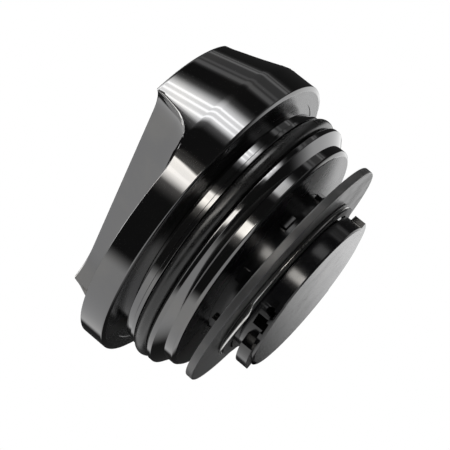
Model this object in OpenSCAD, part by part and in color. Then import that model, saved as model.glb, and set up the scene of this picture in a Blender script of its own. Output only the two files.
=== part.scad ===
// Oil filler cap: a machined knob with a finger grip, an O-ring, and a moulded bayonet
// insert that carries a flat soft washer over a retainer with a wire ring. It stands on its
// bayonet end, with the origin at the centre of that face, +Z up through the grip and +X
// along it.

/* [Rim and grip] */
// Overall height, from the bayonet end to the top of the grip
overall_h = 42.5; // [41:0.1:44]
// Outer diameter of the rim
rim_d = 66; // [62:0.5:72]
// Height of the upright band of the rim, below the finger scoops
rim_band_h = 5.4; // [4:0.1:7]
// Diameter of the grip's ends across their top
grip_top_d = 59.8; // [57:0.2:61]
// Width of the grip across its flat walls, at the top
grip_w = 16.8; // [14:0.2:22]
// Distance from one flare of the grip's walls to the other
flare_spacing = 40.6; // [36:0.2:44]
// Radius of the flares where the walls sweep out to the rim, at the top
flare_r = 11.3; // [10:0.1:13]
// Radius between the grip's walls and the scoop floors
scoop_r = 7.7; // [5:0.1:8]
// Lean of the grip's walls from upright, in degrees
wall_lean = 9; // [4:0.5:11]
// Chamfer on the grip's top edges
grip_chamfer = 0.5; // [0.3:0.1:0.8]
// Upright step between a scoop floor and the start of the cone
cone_step = 0.8; // [0.4:0.1:1.5]
// Width of the chamfer under the rim
rim_chamfer = 0.8; // [0.4:0.1:1.2]
// Inner diameter of the flat land under the rim that rests on the filler neck
seat_d = 59; // [58.6:0.1:60]
// Depth of the shallow relief inside that land
seat_relief = 0.1; // [0.05:0.05:0.3]

/* [Neck and seal groove] */
// Diameter of the plain neck under the rim
neck_d = 52.6; // [51:0.2:53.4]
// Height of the plain neck
neck_h = 1.6; // [1:0.1:2.5]
// Diameter of the first lip under the neck
upper_lip_d = 56; // [55:0.2:57]
// Height of the first lip
upper_lip_h = 1.4; // [0.8:0.1:2]
// Width and depth of the scribed line between the two lips
scribe = 0.25; // [0.15:0.05:0.4]
// Diameter of the second lip, above the O-ring
lower_lip_d = 57; // [56:0.2:58]
// Height of the second lip
lower_lip_h = 1; // [0.7:0.1:1.5]
// Thickness of the O-ring's cord
oring_t = 3; // [2.4:0.1:3.4]
// Clearance around the O-ring in its groove
oring_gap = 0.1; // [0.05:0.05:0.2]

/* [Plug] */
// Diameter of the plug under the O-ring
plug_d = 58; // [57:0.2:59]
// Height of the plug's upright face
plug_h = 0.9; // [0.5:0.1:1.5]
// Chamfer at the plug's upper edge
plug_chamfer = 0.5; // [0.3:0.1:0.7]
// Height of the taper from the plug to the nose
taper_h = 1.6; // [1:0.1:2.5]
// Diameter of the nose
nose_d = 53.4; // [50:0.2:55]
// Height of the nose
nose_h = 2.4; // [1.6:0.1:4]
// Chamfer under the nose
nose_chamfer = 0.6; // [0.3:0.1:0.9]

/* [Bayonet insert] */
// Length of the insert that stands out below the nose
insert_h = 11.5; // [11.1:0.1:14]
// Diameter of the barrel
barrel_d = 33.4; // [31.4:0.2:35]
// Diameter of the skirt below the barrel
skirt_d = 31; // [28:0.2:32.6]
// Height of the shoulder between the skirt and the barrel
shoulder_z = 5.2; // [4.8:0.1:5.6]
// Clearance between the insert and its socket in the knob
socket_gap = 0.1; // [0.05:0.05:0.2]
// Depth of the socket in the knob
socket_h = 9; // [6:0.5:12]
// Diameter of the end plate
plate_d = 33; // [32.8:0.2:33.8]
// Thickness of the end plate's edge
plate_t = 1.2; // [0.8:0.1:1.6]
// Chamfer on the lower edge of the end plate and the guard walls
plate_chamfer = 0.3; // [0.1:0.1:0.4]

/* [Lugs and guard walls] */
// Diameter across the two bayonet lugs
lug_d = 36.6; // [36:0.2:40]
// Height of the lugs' lower face above the end face
lug_z = 0.5; // [0.2:0.1:0.8]
// Height of the lugs' upper face where it meets the skirt
lug_top_z = 3.4; // [2.6:0.1:3.6]
// Fall of the lugs' upper face from the skirt to their outer edge
lug_fall = 0.4; // [0.1:0.1:0.8]
// Arc that each lug spans, in degrees
lug_arc = 38; // [25:1:42]
// Turn of the lugs' middle from the grip, in degrees
lug_turn = 63; // [45:1:80]
// Diameter across the two guard walls beside the lugs
guard_d = 34.2; // [34:0.2:35.6]
// Arc that each guard wall spans, in degrees
guard_arc = 99; // [90:1:101]
// Turn from the middle of a guard wall to the middle of its lug, in degrees
guard_turn = 72.5; // [72:0.5:76]

/* [Windows] */
// Turn of the wide window in the skirt past its lug's end, in degrees
wide_window_turn = 16; // [14:0.5:18]
// Width of the wide window
wide_window_w = 2.8; // [2:0.1:3]
// Height of the wide window's flat upper end
wide_window_z = 3.6; // [3:0.1:4]
// Turn of the narrow window past its lug's end, in degrees
narrow_window_turn = 28; // [26.5:0.5:30]
// Width of the narrow window
narrow_window_w = 1.8; // [1:0.1:2.4]
// Height of the narrow window's round upper end
narrow_window_z = 2.8; // [2.4:0.1:4]
// Height of the sill under the windows
window_sill = 0.6; // [0.4:0.1:1]
// Depth of the windows
window_depth = 4; // [2:0.5:5]

/* [Teeth] */
// Number of small teeth round the barrel above the washer
tooth_n = 8; // [4:1:12]
// Turn of the first tooth from the grip, in degrees
tooth_turn = 29; // [0:1:44]
// Height of the teeth
tooth_h = 1.3; // [0.8:0.1:1.6]
// Width of a tooth round the barrel
tooth_w = 3; // [1.5:0.1:4]
// How far a tooth stands out from the barrel
tooth_out = 0.9; // [0.5:0.1:1.4]

/* [Washer and retainer] */
// Height of the middle of the washer's lower face
washer_z = 6.35; // [6.25:0.05:6.6]
// Diameter of the flat soft washer
washer_d = 53.6; // [50:0.2:56]
// Thickness of the washer
washer_t = 1.7; // [1.2:0.1:1.9]
// Tilt at which the washer and the retainer under it sit on the barrel, in degrees
washer_tilt = 3.7; // [0:0.1:4]
// Direction in which the washer sits lowest, in degrees from the grip
washer_turn = 345; // [0:5:355]
// Clearance of the washer and the retainer around the barrel
washer_gap = 0.3; // [0.25:0.05:0.5]
// Least clearance of the tilted washer under the teeth and above the retainer
washer_clear = 0.1; // [0.1:0.05:0.2]
// Diameter of the retainer that carries the wire ring
retainer_d = 37.8; // [37.2:0.2:40]
// Thickness of the retainer
retainer_t = 1.2; // [1.1:0.1:1.3]
// Least clearance of the tilted retainer above the guard walls
retainer_clear = 0.2; // [0.1:0.05:0.4]
// Thickness of the ring's wire
wire_t = 0.7; // [0.6:0.05:0.8]
// Clearance around the wire in the retainer's groove
wire_gap = 0.05; // [0.03:0.01:0.1]
// How far the middle of the wire lies outside the retainer's edge
wire_out = 0.1; // [0:0.05:0.2]

/* [Hidden] */
$fn = 128;
eps = 0.01;
half_turn = 180;
full_turn = 360;
right_angle = 90;

// Heights, from the bayonet end upward
nose_z = insert_h;
taper_z = nose_z + nose_h;
plug_z = taper_z + taper_h;
groove_z = plug_z + plug_h + plug_chamfer;
groove_h = oring_t + 2 * oring_gap;
lower_lip_z = groove_z + groove_h;
upper_lip_z = lower_lip_z + lower_lip_h;
neck_z = upper_lip_z + upper_lip_h;
under_rim_z = neck_z + neck_h;
rim_z = under_rim_z + rim_chamfer / 2;
floor_z = rim_z + rim_band_h;
cone_z = floor_z + cone_step;
top_z = overall_h;
grip_h = top_z - floor_z;

// The O-ring lies round the floor of its groove
groove_r = neck_d / 2;
oring_r = groove_r + oring_gap + oring_t / 2;
oring_z = groove_z + groove_h / 2;

// The line that the flares of one wall turn about
flare_y = grip_w / 2 + flare_r;

// The teeth clear the washer, and the guard walls the retainer, at their full tilt
tooth_r = barrel_d / 2 + tooth_out;
tooth_z = washer_z + washer_t + tooth_r * sin(washer_tilt) + washer_clear;
guard_r = guard_d / 2;
retainer_top = -washer_clear;
guard_z = washer_z + retainer_top - retainer_t - guard_r * sin(washer_tilt) - retainer_clear;

// How far the teeth, lugs and guard walls reach into the barrel and the skirt
root = 1;

// The washer and the retainer share one bore, and the wire ring sits in the retainer's edge
washer_bore = barrel_d + 2 * washer_gap;
wire_z = retainer_top - retainer_t / 2;
wire_r = retainer_d / 2 + wire_out;

// The two lugs stand opposite each other, each with a guard wall before it and windows after it
lug_turns = [lug_turn, lug_turn + half_turn];

// The scoop's cross-section: x runs from the flare's line to the wall, y is height
slope = tan(wall_lean);
scoop_flat = flare_r - slope * (grip_h - scoop_r * (1 - sin(wall_lean))) - scoop_r * cos(wall_lean);
scoop_steps = 12;
cut_above = 2;
scoop_reach = rim_d;
lap = 0.2;

function fillet_point(k) =
    let (a = (right_angle - wall_lean) * k / scoop_steps)
    [scoop_flat + scoop_r * sin(a), floor_z + scoop_r * (1 - cos(a))];

module scoop_section() {
    rise = grip_chamfer + cut_above;
    polygon(concat(
        [[0, floor_z]],
        [for (k = [0:scoop_steps]) fillet_point(k)],
        [
            [flare_r - slope * grip_chamfer, top_z - grip_chamfer],
            [flare_r - slope * grip_chamfer + rise, top_z - grip_chamfer + rise],
            [0, top_z - grip_chamfer + rise]
        ]
    ));
}

module finger_scoop() {
    translate([0, -flare_y, 0]) {
        // Along the flat wall
        rotate([90, 0, 90]) linear_extrude(flare_spacing, center = true) scoop_section();
        // Round each flare, and on out through the rim
        for (side = [0, 1])
            mirror([side, 0, 0]) translate([flare_spacing / 2, 0, 0]) {
                rotate_extrude() scoop_section();
                rotate([90, 0, 0]) linear_extrude(scoop_reach) scoop_section();
            }
        translate([-flare_spacing / 2 - lap, -scoop_reach, floor_z])
            cube([flare_spacing + 2 * lap, scoop_reach + lap, grip_h + cut_above]);
    }
}

module knob_blank() {
    rim_r = rim_d / 2;
    lip_r = upper_lip_d / 2;
    plug_r = plug_d / 2;
    nose_r = nose_d / 2;
    scribe_z = upper_lip_z;
    rotate_extrude() polygon([
        [0, nose_z], [nose_r - nose_chamfer, nose_z], [nose_r, nose_z + nose_chamfer],
        [nose_r, taper_z], [plug_r, plug_z], [plug_r, plug_z + plug_h],
        [plug_r - plug_chamfer, groove_z], [groove_r, groove_z], [groove_r, lower_lip_z],
        [lower_lip_d / 2, lower_lip_z], [lower_lip_d / 2, scribe_z - scribe],
        [lip_r - scribe, scribe_z - scribe], [lip_r - scribe, scribe_z], [lip_r, scribe_z],
        [lip_r, neck_z], [groove_r, neck_z], [groove_r, under_rim_z + seat_relief],
        [seat_d / 2, under_rim_z + seat_relief], [seat_d / 2, under_rim_z],
        [rim_r - rim_chamfer, under_rim_z], [rim_r, rim_z], [rim_r, cone_z],
        [grip_top_d / 2, top_z - grip_chamfer], [grip_top_d / 2 - grip_chamfer, top_z], [0, top_z]
    ]);
}

module knob() {
    color("#17171a") difference() {
        knob_blank();
        finger_scoop();
        mirror([0, 1, 0]) finger_scoop();
        translate([0, 0, nose_z - eps]) cylinder(d = barrel_d + 2 * socket_gap, h = socket_h + eps);
    }
}

module o_ring() {
    color("#101011") translate([0, 0, oring_z])
        rotate_extrude() translate([oring_r, 0]) circle(d = oring_t);
}

// A wedge about +X that keeps one arc of what it meets
module wedge(arc) {
    reach = lug_d;
    linear_extrude(insert_h)
        polygon([[0, 0], [reach, -reach * tan(arc / 2)], [reach, reach * tan(arc / 2)]]);
}

// The skirt stands on the end plate and widens to the barrel, which fills the knob's socket
module insert_blank() {
    plate_r = plate_d / 2;
    skirt_r = skirt_d / 2;
    barrel_top = nose_z + socket_h;
    rotate_extrude() polygon([
        [0, 0], [plate_r - plate_chamfer, 0], [plate_r, plate_chamfer], [plate_r, plate_t],
        [skirt_r, plate_t], [skirt_r, shoulder_z], [barrel_d / 2, shoulder_z],
        [barrel_d / 2, barrel_top], [0, barrel_top]
    ]);
}

module lug() {
    skirt_r = skirt_d / 2;
    intersection() {
        rotate_extrude() polygon([
            [skirt_r - root, lug_z], [lug_d / 2, lug_z], [lug_d / 2, lug_top_z - lug_fall],
            [skirt_r, lug_top_z], [skirt_r - root, lug_top_z]
        ]);
        wedge(lug_arc);
    }
}

module guard_wall() {
    inner_r = skirt_d / 2 - root;
    intersection() {
        rotate_extrude() polygon([
            [inner_r, 0], [guard_r - plate_chamfer, 0], [guard_r, plate_chamfer],
            [guard_r, guard_z], [inner_r, guard_z]
        ]);
        wedge(guard_arc);
    }
}

module tooth() {
    translate([barrel_d / 2 - root, -tooth_w / 2, tooth_z])
        cube([root + tooth_out, tooth_w, tooth_h]);
}

// Cuts the outline given in from the skirt's outside at +X
module window_cut() {
    translate([skirt_d / 2 - window_depth, 0, 0]) rotate([90, 0, 90])
        linear_extrude(window_depth + plate_d) children();
}

module insert() {
    color("#0d0d0f") difference() {
        union() {
            insert_blank();
            for (turn = lug_turns) {
                rotate(turn) lug();
                rotate(turn - guard_turn) guard_wall();
            }
            for (k = [0:tooth_n - 1]) rotate(tooth_turn + k * full_turn / tooth_n) tooth();
        }
        for (turn = lug_turns) {
            rotate(turn + lug_arc / 2 + wide_window_turn) window_cut()
                translate([-wide_window_w / 2, window_sill])
                    square([wide_window_w, wide_window_z - window_sill]);
            rotate(turn + lug_arc / 2 + narrow_window_turn) window_cut() {
                arch_z = narrow_window_z - narrow_window_w / 2;
                translate([0, arch_z]) circle(d = narrow_window_w);
                translate([-narrow_window_w / 2, window_sill])
                    square([narrow_window_w, arch_z - window_sill]);
            }
        }
    }
}

// Places what it is given on the washer's lower face
module on_washer_face() {
    translate([0, 0, washer_z]) rotate(washer_turn) rotate([0, washer_tilt, 0]) children();
}

module washer() {
    color("#2a2a2c") on_washer_face() difference() {
        cylinder(d = washer_d, h = washer_t);
        translate([0, 0, -eps]) cylinder(d = washer_bore, h = washer_t + 2 * eps);
    }
}

module retainer() {
    color("#0d0d0f") on_washer_face() difference() {
        translate([0, 0, retainer_top - retainer_t]) cylinder(d = retainer_d, h = retainer_t);
        translate([0, 0, retainer_top - retainer_t - eps])
            cylinder(d = washer_bore, h = retainer_t + 2 * eps);
        translate([0, 0, wire_z])
            rotate_extrude() translate([wire_r, 0]) circle(d = wire_t + 2 * wire_gap);
    }
}

module wire_ring() {
    color("silver") on_washer_face() translate([0, 0, wire_z])
        rotate_extrude() translate([wire_r, 0]) circle(d = wire_t);
}

knob();
o_ring();
insert();
washer();
retainer();
wire_ring();
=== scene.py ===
import bmesh
import bpy
import math
from mathutils import Matrix, Vector


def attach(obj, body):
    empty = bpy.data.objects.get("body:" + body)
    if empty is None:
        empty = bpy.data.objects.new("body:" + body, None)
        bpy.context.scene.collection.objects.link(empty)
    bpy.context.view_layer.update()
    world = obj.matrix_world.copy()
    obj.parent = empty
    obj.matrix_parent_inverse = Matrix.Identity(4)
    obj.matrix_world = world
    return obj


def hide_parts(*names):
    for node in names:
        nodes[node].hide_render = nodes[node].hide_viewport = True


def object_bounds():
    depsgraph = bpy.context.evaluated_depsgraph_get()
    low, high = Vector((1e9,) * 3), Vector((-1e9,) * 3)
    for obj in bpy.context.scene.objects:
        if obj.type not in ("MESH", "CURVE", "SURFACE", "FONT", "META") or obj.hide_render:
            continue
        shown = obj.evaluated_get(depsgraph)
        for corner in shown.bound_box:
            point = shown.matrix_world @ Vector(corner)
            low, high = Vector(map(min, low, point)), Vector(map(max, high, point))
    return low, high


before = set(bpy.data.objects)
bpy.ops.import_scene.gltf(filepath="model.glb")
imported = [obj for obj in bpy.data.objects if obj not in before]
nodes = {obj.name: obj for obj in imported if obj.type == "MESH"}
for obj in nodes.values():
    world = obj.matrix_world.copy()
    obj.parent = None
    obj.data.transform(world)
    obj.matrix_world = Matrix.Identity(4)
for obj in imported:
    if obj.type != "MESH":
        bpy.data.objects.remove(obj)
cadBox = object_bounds()
scene = bpy.context.scene
print("frame loaded")


# Camera at the photograph's angle: low in front, rolled so that the grip points up and left

cameraPose = dict(
    eye=(0.2032, -0.2084, -0.0400),
    right=(0.3414, 0.5564, -0.7576),
    up=(0.6479, 0.4448, 0.6184),
    lens=120,
    sensor=36,
    clipStart=0.01,
)
camRight = Vector(cameraPose["right"]).normalized()
camBack = camRight.cross(Vector(cameraPose["up"])).normalized()
camUp = camBack.cross(camRight)
camera = bpy.data.objects.new("camera", bpy.data.cameras.new("camera"))
camera.data.lens = cameraPose["lens"]
camera.data.sensor_width = cameraPose["sensor"]
camera.data.clip_start = cameraPose["clipStart"]
turn = Matrix((camRight, camUp, camBack)).transposed().to_4x4()
camera.matrix_world = Matrix.Translation(cameraPose["eye"]) @ turn
scene.collection.objects.link(camera)
scene.camera = camera
print("camera placed")


# Short ways to make nodes

def addNode(tree, kind, inputs=(), **settings):
    node = tree.nodes.new(kind)
    for key, value in settings.items():
        setattr(node, key, value)
    for key, value in dict(inputs).items():
        if isinstance(value, bpy.types.NodeSocket):
            tree.links.new(value, node.inputs[key])
        else:
            node.inputs[key].default_value = value
    return node


def mathNode(tree, operation, a, b=0.0):
    return addNode(tree, "ShaderNodeMath", {0: a, 1: b}, operation=operation).outputs[0]


def vectorNode(tree, operation, inputs):
    return addNode(tree, "ShaderNodeVectorMath", inputs, operation=operation).outputs


def noiseNode(tree, place, scale, detail):
    inputs = {"Vector": place, "Scale": scale, "Detail": detail}
    return addNode(tree, "ShaderNodeTexNoise", inputs).outputs[0]


def fadeNode(tree, value, limits, start=0.0, end=1.0):
    # Runs softly from start to end while the value goes from one limit to the other
    inputs = {"Value": value, "From Min": limits[0], "From Max": limits[1], "To Min": start, "To Max": end}
    return addNode(tree, "ShaderNodeMapRange", inputs, interpolation_type="SMOOTHSTEP").outputs["Result"]


def newMaterial(name):
    material = bpy.data.materials.new(name)
    material.use_nodes = True
    tree = material.node_tree
    return material, tree, tree.nodes["Principled BSDF"]


def dress(piece, material):
    piece.data.materials.clear()
    piece.data.materials.append(material)


# The studio: reflections see tall strips, which run like meridians about one tilted pole

studio = dict(
    pole=(-0.5278, 0.0683, 0.8466),
    zero=(-0.0033, -0.9968, 0.0783),
    quarter=(0.8494, 0.0385, 0.5264),
    room=0.03,
    fill=0.4,
)
white, warmWhite = (1, 1, 1), (1, 0.965, 0.915)

# A strip runs from start to end, in degrees about the pole, each with the width of its soft edge.
# Low and high are heights, from -1 straight down to 1 straight up, between which it fades in and out.
# Pole is the same as low, but measured along the pole
strips = dict(
    table=dict(start=(-100, 12), end=(-10.5, 13), level=1.0),
    wall=dict(start=(-170, 8), end=(-138.5, 8), level=1.3, high=(0.02, 0.15), pole=(-0.65, -0.35)),
    ceiling=dict(start=(-200, 2), end=(200, 2), level=4.0, low=(0.8, 0.92), high=(0.955, 0.975)),
    upperWall=dict(start=(-10.5, 13), end=(40, 6), level=0.95, low=(0.33, 0.42)),
    sideRoom=dict(start=(133, 4), end=(158, 8), level=0.15),
    sideTubeA=dict(start=(134.4, 2), end=(138.4, 2), level=0.26, high=(0.7, 0.8)),
    sideTubeB=dict(start=(140.6, 1.5), end=(143.2, 1.5), level=0.16, high=(0.7, 0.8)),
    sideTubeC=dict(start=(152.0, 1.5), end=(154.4, 1.5), level=0.35, high=(0.7, 0.8)),
    sideTubeD=dict(start=(155.8, 1.2), end=(157.4, 1.2), level=0.25, high=(0.7, 0.8)),
    warmBox=dict(
        start=(46.5, 7), end=(59.3, 3), level=4.9, low=(-0.15, -0.05), high=(0.93, 0.98), tint=warmWhite,
    ),
    warmTubeA=dict(
        start=(50.2, 1), end=(52.8, 1), level=0.9, low=(0.2, 0.25), high=(0.7, 0.85), tint=warmWhite,
    ),
    warmTubeB=dict(
        start=(57.0, 0.8), end=(58.6, 0.8), level=0.8, low=(0.2, 0.25), high=(0.7, 0.85), tint=warmWhite,
    ),
    warmGlow=dict(
        start=(41, 14), end=(63, 9), level=0.5, low=(-0.15, -0.05), high=(0.7, 0.85), tint=warmWhite,
    ),
    warmFoot=dict(
        start=(47, 6), end=(59.3, 3), level=6, low=(-0.15, -0.05), high=(0.13, 0.19), tint=warmWhite,
    ),
    keyBox=dict(start=(94.2, 5), end=(111.2, 9.5), level=3.7, low=(0.105, 0.25), high=(0.85, 0.95)),
    keyGlow=dict(start=(90, 10), end=(115, 13), level=0.5, low=(0.105, 0.25), high=(0.85, 0.95)),
    keyTubeA=dict(start=(96.5, 0.8), end=(98.1, 0.8), level=2.6, low=(0.2, 0.25), high=(0.85, 0.95)),
    keyTubeB=dict(start=(101.2, 0.8), end=(102.8, 0.8), level=2.8, low=(0.2, 0.25), high=(0.85, 0.95)),
    keyTubeC=dict(start=(105.7, 0.8), end=(107.3, 0.8), level=2.8, low=(0.2, 0.25), high=(0.85, 0.95)),
)


def buildWorld():
    world = bpy.data.worlds.new("studio")
    scene.world = world
    world.use_nodes = True
    world.cycles.sampling_method = "NONE"
    tree = world.node_tree
    tree.nodes.clear()
    direction = addNode(tree, "ShaderNodeTexCoord").outputs["Generated"]

    def along(axis):
        return vectorNode(tree, "DOT_PRODUCT", {0: direction, 1: axis})["Value"]

    def scaled(colour, amount):
        return vectorNode(tree, "SCALE", {0: colour, "Scale": amount})[0]

    def added(a, b):
        return vectorNode(tree, "ADD", {0: a, 1: b})[0]

    toPole, height = along(studio["pole"]), along((0, 0, 1))
    turn = mathNode(tree, "ARCTAN2", along(studio["quarter"]), along(studio["zero"]))
    angle = mathNode(tree, "MULTIPLY", turn, 180 / math.pi)
    seen = (studio["room"],) * 3
    for strip in strips.values():
        (start, startSoft), (end, endSoft) = strip["start"], strip["end"]
        amount = fadeNode(tree, angle, (start - startSoft / 2, start + startSoft / 2), 0, strip["level"])
        fades = [fadeNode(tree, angle, (end - endSoft / 2, end + endSoft / 2), 1, 0)]
        if "low" in strip:
            fades.append(fadeNode(tree, height, strip["low"]))
        if "high" in strip:
            fades.append(fadeNode(tree, height, strip["high"], 1, 0))
        if "pole" in strip:
            fades.append(fadeNode(tree, toPole, strip["pole"]))
        for fade in fades:
            amount = mathNode(tree, "MULTIPLY", amount, fade)
        seen = added(seen, scaled(strip.get("tint", white), amount))
    path = addNode(tree, "ShaderNodeLightPath").outputs
    glossy = path["Is Glossy Ray"]
    plain = mathNode(tree, "MULTIPLY", mathNode(tree, "SUBTRACT", 1.0, glossy), studio["fill"])
    clear = mathNode(tree, "MAXIMUM", path["Is Camera Ray"], path["Is Transmission Ray"])
    colour = added(scaled(seen, glossy), scaled(white, mathNode(tree, "MAXIMUM", plain, clear)))
    background = addNode(tree, "ShaderNodeBackground", {"Color": colour, "Strength": 1.0})
    output = addNode(tree, "ShaderNodeOutputWorld")
    tree.links.new(background.outputs[0], output.inputs[0])


# Soft panels for the rough surfaces and the shadow, out of sight of reflections

panels = dict(
    keyPanel=dict(place=(0.69, 0.18, 0.37), size=0.35, radiance=3.0, colour=white),
    warmPanel=dict(place=(0.54, -0.44, 0.39), size=0.25, radiance=2.0, colour=warmWhite),
    tablePanel=dict(place=(-0.35, -0.55, -0.25), size=0.5, radiance=0.6, colour=white),
    wallPanel=dict(place=(-0.25, 0.7, -0.25), size=0.4, radiance=1.6, colour=white),
)


def lightPanel(name, place, size, radiance, colour):
    light = bpy.data.lights.new(name, "AREA")
    light.shape = "SQUARE"
    light.size = size
    light.energy = radiance * math.pi * size * size
    light.color = colour
    lamp = bpy.data.objects.new(name, light)
    facing = Vector(place).to_track_quat("Z", "Y").to_matrix().to_4x4()
    lamp.matrix_world = Matrix.Translation(place) @ facing
    lamp.visible_glossy = False
    scene.collection.objects.link(lamp)


buildWorld()
for name, panel in panels.items():
    lightPanel(name, **panel)
print("studio lit")


# The floor shows only to a camera that is above it

floorLook = dict(size=1.5, colour=(0.8, 0.8, 0.8, 1), roughness=0.9)


def buildFloor():
    mesh = bpy.data.meshes.new("floor")
    shape = bmesh.new()
    bmesh.ops.create_grid(shape, x_segments=1, y_segments=1, size=floorLook["size"])
    shape.to_mesh(mesh)
    shape.free()
    floor = bpy.data.objects.new("floor", mesh)
    scene.collection.objects.link(floor)
    floor.location.z = cadBox[0].z
    material, tree, shader = newMaterial("floor")
    shader.inputs["Base Color"].default_value = floorLook["colour"]
    shader.inputs["Roughness"].default_value = floorLook["roughness"]
    behind = addNode(tree, "ShaderNodeNewGeometry").outputs["Backfacing"]
    clear = addNode(tree, "ShaderNodeBsdfTransparent").outputs[0]
    mix = addNode(tree, "ShaderNodeMixShader", {0: behind, 1: shader.outputs[0], 2: clear})
    tree.links.new(mix.outputs[0], tree.nodes["Material Output"].inputs["Surface"])
    dress(floor, material)
    floor.visible_diffuse = False
    floor.visible_glossy = False
    floor.visible_transmission = False
    floor.visible_shadow = False


buildFloor()
print("floor laid")


# Ways to make a piece. The knob and the wire are made in millimetres, the moulded parts in metres

toMetres = Matrix.Scale(0.001, 4)
mergeWithin, sameWithin, planeWithin = 1e-4, 0.01, 1e-5
facingUp, facingDown = 0.9999, -0.99


def latheShape(profile, segments):
    # A profile of (radius, height) points, turned round the axis
    shape = bmesh.new()
    points = [shape.verts.new((r, 0, z)) for r, z in profile]
    edges = [shape.edges.new(pair) for pair in zip(points, points[1:])]
    bmesh.ops.spin(
        shape, geom=points + edges, cent=(0, 0, 0), axis=(0, 0, 1), angle=math.tau, steps=segments,
        use_merge=True,
    )
    bmesh.ops.remove_doubles(shape, verts=shape.verts, dist=mergeWithin)
    bmesh.ops.recalc_face_normals(shape, faces=shape.faces)
    return shape


def roundRings(shape, corners, width, segments=3):
    # Rounds the circular edges at the (radius, height) corners given
    def place(vert):
        return math.hypot(vert.co.x, vert.co.y), vert.co.z

    def near(a, b):
        return abs(a[0] - b[0]) < sameWithin and abs(a[1] - b[1]) < sameWithin

    rings = []
    for edge in shape.edges:
        a, b = place(edge.verts[0]), place(edge.verts[1])
        if near(a, b) and any(near(a, corner) for corner in corners):
            rings.append(edge)
    bmesh.ops.bevel(
        shape, geom=rings, offset=width, segments=segments, profile=0.5, affect="EDGES", material=-1,
    )


def pieceFrom(shape, name, *materials):
    mesh = bpy.data.meshes.new(name)
    shape.to_mesh(mesh)
    shape.free()
    for material in materials:
        mesh.materials.append(material)
    piece = bpy.data.objects.new(name, mesh)
    scene.collection.objects.link(piece)
    return piece


def applyAll(piece):
    graph = bpy.context.evaluated_depsgraph_get()
    mesh = bpy.data.meshes.new_from_object(piece.evaluated_get(graph))
    piece.modifiers.clear()
    piece.data = mesh


def cutAway(piece, cutters):
    for cutter in cutters:
        cut = piece.modifiers.new("cut", "BOOLEAN")
        cut.operation = "DIFFERENCE"
        cut.solver = "EXACT"
        cut.material_mode = "TRANSFER"
        cut.object = cutter
    applyAll(piece)
    for cutter in cutters:
        bpy.data.objects.remove(cutter)


def settlePiece(piece, name, smoothAngle=35):
    # Shades a piece smooth between its sharp edges and puts it in place of its node
    piece.data.shade_smooth()
    piece.data.set_sharp_from_angle(angle=math.radians(smoothAngle))
    weigh = piece.modifiers.new("weigh", "WEIGHTED_NORMAL")
    weigh.keep_sharp = True
    applyAll(piece)
    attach(piece, "root")
    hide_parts(name)


# The knob: a turned blank with two milled finger scoops

# The scoops' edge is rounded over edgeRound times a weight. The weight is lowRound along the floor, rises
# over lowRise to gripRound up the grip, and fades to nothing at fadeTop, below the grip's rounded top edge.
# Points nearer than mergeBy are merged, and closeBy says how far past the rounding others are drawn in
knobSize = dict(
    segments=240,
    rimR=33, rimTop=30.7, rimLow=24.5, rimChamfer=0.8, rimUnder=24.1, rimRound=0.15, ringWithin=0.05,
    seatR=29.5, seatRelief=0.1, grooveR=26.3, neckLow=22.5,
    upperLipR=28, upperLipLow=21.1, scribe=0.25, lowerLipR=28.5, lowerLipLow=20.1, lipRound=0.12,
    grooveLow=16.9, plugR=29, plugTop=16.4, plugLow=15.5, plugChamfer=0.5,
    noseR=26.7, noseTop=13.9, noseLow=11.5, noseChamfer=0.6, socketR=16.8, socketTop=20.5,
    gripTop=42.5, gripTopR=29.76, gripW=16.8, topRound=0.5, topSteps=4,
    floor=29.9, flareSpacing=40.6, flareR=11.3, scoopR=7.7, wallLean=9,
    filletSteps=12, flareSteps=20, reach=45, above=2, overTop=0.01,
    edgeRound=0.8, edgeSteps=4, lowRound=0.2, gripRound=0.75, lowRise=2.5,
    fadeTop=41.9, fade=1.6, fadeSteps=4, mergeBy=0.15, closeBy=1.1,
)


def knobProfile():
    s = knobSize
    return [
        (0, s["socketTop"]), (s["socketR"], s["socketTop"]), (s["socketR"], s["noseLow"]),
        (s["noseR"] - s["noseChamfer"], s["noseLow"]), (s["noseR"], s["noseLow"] + s["noseChamfer"]),
        (s["noseR"], s["noseTop"]), (s["plugR"], s["plugLow"]), (s["plugR"], s["plugTop"]),
        (s["plugR"] - s["plugChamfer"], s["grooveLow"]), (s["grooveR"], s["grooveLow"]),
        (s["grooveR"], s["lowerLipLow"]), (s["lowerLipR"], s["lowerLipLow"]),
        (s["lowerLipR"], s["upperLipLow"] - s["scribe"]),
        (s["upperLipR"] - s["scribe"], s["upperLipLow"] - s["scribe"]),
        (s["upperLipR"] - s["scribe"], s["upperLipLow"]), (s["upperLipR"], s["upperLipLow"]),
        (s["upperLipR"], s["neckLow"]), (s["grooveR"], s["neckLow"]),
        (s["grooveR"], s["rimUnder"] + s["seatRelief"]), (s["seatR"], s["rimUnder"] + s["seatRelief"]),
        (s["seatR"], s["rimUnder"]), (s["rimR"] - s["rimChamfer"], s["rimUnder"]), (s["rimR"], s["rimLow"]),
        (s["rimR"], s["rimTop"]), (s["gripTopR"], s["gripTop"]), (0, s["gripTop"]),
    ]


def knobBlank():
    s = knobSize
    blank = latheShape(knobProfile(), s["segments"])
    rimEdge = [(s["rimR"] - s["rimChamfer"], s["rimUnder"]), (s["rimR"], s["rimLow"])]
    noseEdge = [(s["noseR"] - s["noseChamfer"], s["noseLow"]), (s["noseR"], s["noseLow"] + s["noseChamfer"])]
    roundRings(blank, rimEdge, s["rimRound"])
    roundRings(blank, [(s["upperLipR"], s["neckLow"]), (s["lowerLipR"], s["lowerLipLow"])], s["lipRound"])
    roundRings(blank, [(s["plugR"], s["plugLow"]), (s["plugR"], s["plugTop"])], s["lipRound"])
    roundRings(blank, noseEdge, s["rimRound"])
    roundRings(blank, [(s["gripTopR"], s["gripTop"])], s["topRound"], s["topSteps"])
    return blank


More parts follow.
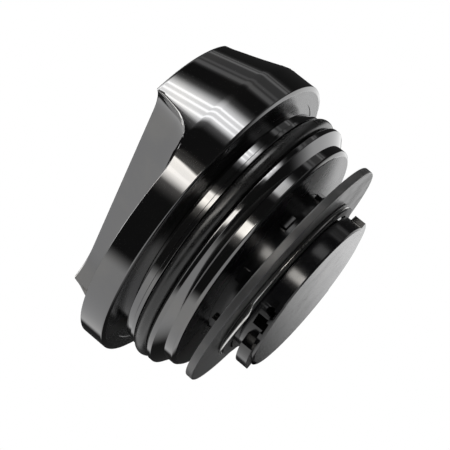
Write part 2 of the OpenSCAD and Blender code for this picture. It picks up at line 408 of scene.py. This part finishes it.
def scoopProfile():
    # From the floor up the fillet and the leaning wall, and over the rounded top edge of the grip,
    # measured out from the flare's axis
    s = knobSize
    lean = math.radians(s["wallLean"])
    wallH = s["gripTop"] - s["floor"] - s["scoopR"] * (1 - math.sin(lean))
    flat = s["flareR"] - math.tan(lean) * wallH - s["scoopR"] * math.cos(lean)
    points = []
    for k in range(s["filletSteps"] + 1):
        a = (math.pi / 2 - lean) * k / s["filletSteps"]
        points.append((flat + s["scoopR"] * math.sin(a), s["floor"] + s["scoopR"] * (1 - math.cos(a))))
    turnR = s["flareR"] + s["topRound"] * (1 / math.cos(lean) - math.tan(lean))
    for k in range(s["topSteps"] + 1):
        a = lean + (math.pi / 2 - lean) * k / s["topSteps"]
        height = s["gripTop"] + s["overTop"] - s["topRound"] * (1 - math.sin(a))
        points.append((turnR - s["topRound"] * math.cos(a), height))
    points.append((turnR, s["gripTop"] + s["above"]))
    return points


def scoopShape():
    # Sweeps the profile in past one flare, along the wall and out past the other flare
    s = knobSize
    half, flareY = s["flareSpacing"] / 2, -(s["gripW"] / 2 + s["flareR"])
    shape = bmesh.new()
    verts = [shape.verts.new((half + x, -s["reach"], z)) for x, z in scoopProfile()]
    edges = [shape.edges.new(pair) for pair in zip(verts, verts[1:])]

    def slide(edges, way):
        moved = bmesh.ops.extrude_edge_only(shape, edges=edges)["geom"]
        bmesh.ops.translate(shape, vec=way, verts=[g for g in moved if isinstance(g, bmesh.types.BMVert)])
        return [g for g in moved if isinstance(g, bmesh.types.BMEdge)]

    def swing(edges, x):
        turned = bmesh.ops.spin(
            shape, geom=edges, cent=(x, flareY, 0), axis=(0, 0, 1), angle=math.pi / 2, steps=s["flareSteps"],
        )["geom_last"]
        return [g for g in turned if isinstance(g, bmesh.types.BMEdge)]

    def openEdges():
        return [e for e in shape.edges if len(e.link_faces) < 2]

    def level(vert, z):
        return abs(vert.co.z - z) < sameWithin

    edges = slide(edges, (0, s["reach"] + flareY, 0))
    edges = swing(edges, half)
    edges = slide(edges, (-s["flareSpacing"], 0, 0))
    edges = swing(edges, -half)
    slide(edges, (0, -s["reach"] - flareY, 0))
    bmesh.ops.remove_doubles(shape, verts=shape.verts, dist=mergeWithin)
    heights = (s["floor"], s["gripTop"] + s["above"])
    for z in heights:
        ends = [v for v in shape.verts if level(v, z) and abs(v.co.y + s["reach"]) < sameWithin]
        shape.edges.new(ends)
    for z in heights:
        bmesh.ops.edgeloop_fill(shape, edges=[e for e in openEdges() if all(level(v, z) for v in e.verts)])
    bmesh.ops.edgeloop_fill(shape, edges=openEdges())
    bmesh.ops.recalc_face_normals(shape, faces=shape.faces)
    return shape


def isCut(edge):
    # True where a turned face meets a milled one
    return len({face.material_index for face in edge.link_faces}) == 2


def cutPoints(shape):
    return [v for v in shape.verts if any(isCut(e) for e in v.link_edges)]


def roundAt(height):
    s = knobSize
    low = max(0.0, min(1.0, (height - s["floor"]) / s["lowRise"]))
    top = max(0.0, min(1.0, (s["fadeTop"] - height) / s["fade"]))
    return (s["lowRound"] + (s["gripRound"] - s["lowRound"]) * low) * top


def clearCuts(shape):
    # Makes the grip's top one face, cuts short steps where the rounding fades out, and draws into the cut
    # edge the points that the rounding would run past
    s = knobSize
    top = s["gripTop"] - sameWithin
    flatTop = [f for f in shape.faces if f.normal.z > facingUp and f.calc_center_median().z > top]
    bmesh.ops.dissolve_faces(shape, faces=flatTop)
    for k in range(s["fadeSteps"] + 1):
        level = s["fadeTop"] - s["fade"] * k / s["fadeSteps"]
        whole = list(shape.verts) + list(shape.edges) + list(shape.faces)
        bmesh.ops.bisect_plane(
            shape, geom=whole, dist=planeWithin, plane_co=(0, 0, level), plane_no=(0, 0, 1),
        )
    belowTop = [v for v in cutPoints(shape) if v.co.z < s["fadeTop"] + sameWithin]
    bmesh.ops.remove_doubles(shape, verts=belowTop, dist=s["mergeBy"])
    edgePoints = cutPoints(shape)  # walked in the mesh's order, so that each run gives the same knob
    onCut, drawnIn = set(edgePoints), {}
    for vert in edgePoints:
        reach = s["closeBy"] * s["edgeRound"] * roundAt(vert.co.z)
        for edge in vert.link_edges:
            other = edge.other_vert(vert)
            if other not in onCut and edge.calc_length() < reach:
                drawnIn[other] = vert
    bmesh.ops.weld_verts(shape, targetmap=drawnIn)


def weighCuts(shape):
    # The scoops' edge by its height, and the rim's upper edge in full
    s = knobSize

    def onRim(vert):
        across = abs(vert.co.xy.length - s["rimR"])
        return across < s["ringWithin"] and abs(vert.co.z - s["rimTop"]) < sameWithin

    weight = shape.edges.layers.float.new("bevel_weight_edge")
    for edge in shape.edges:
        if isCut(edge):
            edge[weight] = roundAt((edge.verts[0].co.z + edge.verts[1].co.z) / 2)
        elif all(onRim(v) for v in edge.verts):
            edge[weight] = 1


def roundCuts(knob):
    s = knobSize
    shape = bmesh.new()
    shape.from_mesh(knob.data)
    clearCuts(shape)
    weighCuts(shape)
    shape.to_mesh(knob.data)
    shape.free()
    bevel = knob.modifiers.new("edges", "BEVEL")
    bevel.limit_method = "WEIGHT"
    bevel.width = s["edgeRound"]
    bevel.segments = s["edgeSteps"]
    bevel.profile = 0.5
    bevel.use_clamp_overlap = False
    bevel.loop_slide = False
    applyAll(knob)


def makeKnob(turned, milled, faced):
    knob = pieceFrom(knobBlank(), "knobBody", turned)
    near, far = pieceFrom(scoopShape(), "nearScoop", milled), pieceFrom(scoopShape(), "farScoop", milled)
    far.data.transform(Matrix.Rotation(math.pi, 4, "Z"))
    cutAway(knob, [near, far])
    roundCuts(knob)
    knob.data.materials.append(faced)
    for face in knob.data.polygons:
        if face.normal.z < facingDown:
            face.material_index = len(knob.data.materials) - 1
    knob.data.transform(toMetres)
    settlePiece(knob, "knob")


# Finishes. Marks and grain are in steps per metre and follow each piece's own shape

markLooks = dict(
    tool=dict(fineDetail=4, slowDetail=5, patchLimits=(0.42, 0.68), drift=2e-5),
    cutter=dict(fineDetail=3, slowDetail=5, patchLimits=(0.4, 0.7), stretch=(0.02, 1, 1)),
    grain=dict(fineDetail=3, slowDetail=4, patchLimits=(0.4, 0.68)),
)
mixSockets = dict(a=6, b=7, result=2)  # where a Mix node has its colours


def openGroup(name, *labels):
    # A group that takes the numbers named and puts out a height, a roughness and a mask of rubbed patches
    group = bpy.data.node_groups.new(name, "ShaderNodeTree")
    for label in labels:
        group.interface.new_socket(label, in_out="INPUT", socket_type="NodeSocketFloat")
    for label in ("height", "roughness", "rub"):
        group.interface.new_socket(label, in_out="OUTPUT", socket_type="NodeSocketFloat")
    return group, group.nodes.new("NodeGroupInput").outputs, group.nodes.new("NodeGroupOutput").inputs


def addGroup(tree, group, **values):
    node = addNode(tree, "ShaderNodeGroup", node_tree=group)
    for label, value in values.items():
        node.inputs[label].default_value = value
    return node.outputs


def putMarks(group, put, height, fine, slow, limits, smooth, worn):
    # Rougher where the fine marks are high and where the slow noise leaves a rubbed patch
    rub = fadeNode(group, slow, limits)
    mixed = mathNode(group, "MULTIPLY", mathNode(group, "ADD", rub, fine), 0.5)
    between = addNode(group, "ShaderNodeMix", {"Factor": mixed, "A": smooth, "B": worn})
    group.links.new(height, put["height"])
    group.links.new(between.outputs["Result"], put["roughness"])
    group.links.new(rub, put["rub"])


def makeToolMarks():
    # Rings about the axis, as a lathe tool and its polishing leave them, with faint rubbed patches
    look = markLooks["tool"]
    group, given, put = openGroup("toolMarks", "rings", "patches", "smooth", "worn")
    place = addNode(group, "ShaderNodeTexCoord").outputs["Object"]
    parts = addNode(group, "ShaderNodeSeparateXYZ", {0: place}).outputs
    flat = addNode(group, "ShaderNodeCombineXYZ", {0: parts[0], 1: parts[1]}).outputs[0]
    radius = vectorNode(group, "LENGTH", {0: flat})["Value"]
    around = mathNode(group, "MULTIPLY", mathNode(group, "ARCTAN2", parts[1], parts[0]), look["drift"])
    path = addNode(group, "ShaderNodeCombineXYZ", {0: radius, 1: parts[2], 2: around}).outputs[0]
    fine = noiseNode(group, path, given["rings"], look["fineDetail"])
    slow = noiseNode(group, place, given["patches"], look["slowDetail"])
    putMarks(group, put, fine, fine, slow, look["patchLimits"], given["smooth"], given["worn"])
    return group


def makeCutterMarks():
    # Fine lines along the way the end mill went
    look = markLooks["cutter"]
    group, given, put = openGroup("cutterMarks", "lines", "patches", "smooth", "worn")
    place = addNode(group, "ShaderNodeTexCoord").outputs["Object"]
    stretched = addNode(group, "ShaderNodeMapping", {"Vector": place, "Scale": look["stretch"]}).outputs[0]
    fine = noiseNode(group, stretched, given["lines"], look["fineDetail"])
    slow = noiseNode(group, place, given["patches"], look["slowDetail"])
    putMarks(group, put, fine, fine, slow, look["patchLimits"], given["smooth"], given["worn"])
    return group


def makeGrain():
    # Moulded skin: a fine grain over slow waves
    look = markLooks["grain"]
    group, given, put = openGroup("mouldedGrain", "grain", "waves", "smooth", "dull")
    place = addNode(group, "ShaderNodeTexCoord").outputs["Object"]
    fine = noiseNode(group, place, given["grain"], look["fineDetail"])
    slow = noiseNode(group, place, given["waves"], look["slowDetail"])
    height = mathNode(group, "ADD", fine, slow)
    putMarks(group, put, height, fine, slow, look["patchLimits"], given["smooth"], given["dull"])
    return group


toolMarks, cutterMarks, grain = makeToolMarks(), makeCutterMarks(), makeGrain()
anodisedTurned = dict(
    colour=(0.15, 0.15, 0.152, 1), rubbed=(0.165, 0.163, 0.16, 1), metallic=1, depth=4e-7,
    marks=dict(rings=9000, patches=90, smooth=0.045, worn=0.085),
)
anodisedFaced = dict(
    colour=(0.13, 0.13, 0.132, 1), rubbed=(0.15, 0.15, 0.15, 1), metallic=1, depth=8e-7,
    marks=dict(rings=6000, patches=90, smooth=0.24, worn=0.32),
)
anodisedMilled = dict(
    colour=(0.15, 0.15, 0.152, 1), rubbed=(0.165, 0.163, 0.16, 1), metallic=1, depth=6e-7,
    marks=dict(lines=6000, patches=110, smooth=0.06, worn=0.13),
)
sealRubber = dict(
    colour=(0.010, 0.010, 0.010, 1), rubbed=(0.016, 0.016, 0.016, 1), metallic=0, depth=3e-6,
    marks=dict(grain=3500, waves=300, smooth=0.22, dull=0.38),
)
insertPlastic = dict(
    colour=(0.006, 0.006, 0.007, 1), rubbed=(0.012, 0.012, 0.013, 1), metallic=0, depth=5e-7,
    marks=dict(grain=4000, waves=140, smooth=0.1, dull=0.2),
)
retainerPlastic = dict(
    colour=(0.006, 0.006, 0.006, 1), rubbed=(0.012, 0.012, 0.012, 1), metallic=0, depth=3e-6,
    marks=dict(grain=4000, waves=140, smooth=0.4, dull=0.5),
)
washerRubber = dict(
    colour=(0.05, 0.05, 0.051, 1), rubbed=(0.075, 0.074, 0.073, 1), metallic=0, depth=6e-6,
    marks=dict(grain=2600, waves=260, smooth=0.3, dull=0.42),
)
ringSteel = dict(
    colour=(0.62, 0.62, 0.61, 1), rubbed=(0.5, 0.49, 0.47, 1), metallic=1, depth=2e-6,
    marks=dict(grain=5000, waves=400, smooth=0.16, dull=0.32),
)


def makeFinish(name, marks, finish):
    material, tree, shader = newMaterial(name)
    out = addGroup(tree, marks, **finish["marks"])
    colour = addNode(tree, "ShaderNodeMix", {"Factor": out["rub"]}, data_type="RGBA")
    colour.inputs[mixSockets["a"]].default_value = finish["colour"]
    colour.inputs[mixSockets["b"]].default_value = finish["rubbed"]
    tree.links.new(colour.outputs[mixSockets["result"]], shader.inputs["Base Color"])
    tree.links.new(out["roughness"], shader.inputs["Roughness"])
    shader.inputs["Metallic"].default_value = finish["metallic"]
    relief = {"Height": out["height"], "Distance": finish["depth"], "Strength": 1.0}
    bump = addNode(tree, "ShaderNodeBump", relief)
    tree.links.new(bump.outputs[0], shader.inputs["Normal"])
    return material


makeKnob(
    makeFinish("blackAnodised", toolMarks, anodisedTurned),
    makeFinish("milledBlack", cutterMarks, anodisedMilled),
    makeFinish("facedBlack", toolMarks, anodisedFaced),
)
print("knob made")


# The moulded parts: the CAD shapes with their edges softened as a mould leaves them

softEdges = dict(
    insert=dict(width=0.00012, segments=2, slot="insert_plastic"),
    washer=dict(width=0.00025, segments=3, slot="washer_rubber"),
    retainer=dict(width=0.00015, segments=2, slot="insert_plastic"),
)
softening = dict(mergeWithin=1e-6, flatWithin=0.5, sharpFrom=40, smoothTo=30)


def softenPiece(name, material):
    s = softEdges[name]
    shape = bmesh.new()
    shape.from_mesh(nodes[name].data)
    bmesh.ops.remove_doubles(shape, verts=shape.verts, dist=softening["mergeWithin"])
    flatWithin = math.radians(softening["flatWithin"])
    bmesh.ops.dissolve_limit(shape, verts=shape.verts, edges=shape.edges, angle_limit=flatWithin)
    piece = pieceFrom(shape, name + "Soft", material)
    bevel = piece.modifiers.new("edges", "BEVEL")
    bevel.limit_method = "ANGLE"
    bevel.angle_limit = math.radians(softening["sharpFrom"])
    bevel.width = s["width"]
    bevel.segments = s["segments"]
    applyAll(piece)
    settlePiece(piece, name, softening["smoothTo"])


softenPiece("insert", makeFinish("insertPlastic", grain, insertPlastic))
softenPiece("washer", makeFinish("washerRubber", grain, washerRubber))
softenPiece("retainer", makeFinish("retainerPlastic", grain, retainerPlastic))
dress(nodes["o_ring"], makeFinish("sealRubber", grain, sealRubber))
print("moulded parts softened")


# The wire: it lies in the retainer and steps out of its edge on one side

# Its place is in the tilted washer's frame. It is out from start to end, in degrees, and steps over step
wireSize = dict(
    t=0.7, inR=18.4, inZ=-0.7, outR=19.25, start=224, end=292, startZ=-0.4, endZ=-1.45, step=9, points=180,
    washerZ=6.35, tilt=3.7, turn=345, roundSteps=5, smoothTo=60,
)


def makeWire(material):
    s = wireSize
    curve = bpy.data.curves.new("wirePath", "CURVE")
    curve.dimensions = "3D"
    curve.bevel_depth = s["t"] / 2
    curve.bevel_resolution = s["roundSteps"]
    path = curve.splines.new("POLY")
    path.points.add(s["points"] - 1)
    path.use_cyclic_u = True
    face = Matrix.Translation((0, 0, s["washerZ"])) @ Matrix.Rotation(math.radians(s["turn"]), 4, "Z")
    face = face @ Matrix.Rotation(math.radians(s["tilt"]), 4, "Y")
    for k, point in enumerate(path.points):
        turn = 360 * k / s["points"]
        out = min(1, max(0, (turn - s["start"]) / s["step"]), max(0, (s["end"] - turn) / s["step"]))
        out = out * out * (3 - 2 * out)
        along = min(1, max(0, (turn - s["start"]) / (s["end"] - s["start"])))
        height = s["startZ"] + (s["endZ"] - s["startZ"]) * along
        r = s["inR"] + (s["outR"] - s["inR"]) * out
        z = s["inZ"] + (height - s["inZ"]) * out
        a = math.radians(turn - s["turn"])
        point.co = (*(face @ Vector((r * math.cos(a), r * math.sin(a), z))), 1)
    tube = bpy.data.objects.new("wirePath", curve)
    scene.collection.objects.link(tube)
    graph = bpy.context.evaluated_depsgraph_get()
    mesh = bpy.data.meshes.new_from_object(tube.evaluated_get(graph))
    bpy.data.objects.remove(tube)
    shape = bmesh.new()
    shape.from_mesh(mesh)
    bmesh.ops.remove_doubles(shape, verts=shape.verts, dist=mergeWithin)
    bmesh.ops.recalc_face_normals(shape, faces=shape.faces)
    wire = pieceFrom(shape, "wireSteel", material)
    wire.data.transform(toMetres)
    settlePiece(wire, "wire_ring", s["smoothTo"])


makeWire(makeFinish("ringSteel", grain, ringSteel))
print("wire made")

scene.view_settings.view_transform = "Standard"
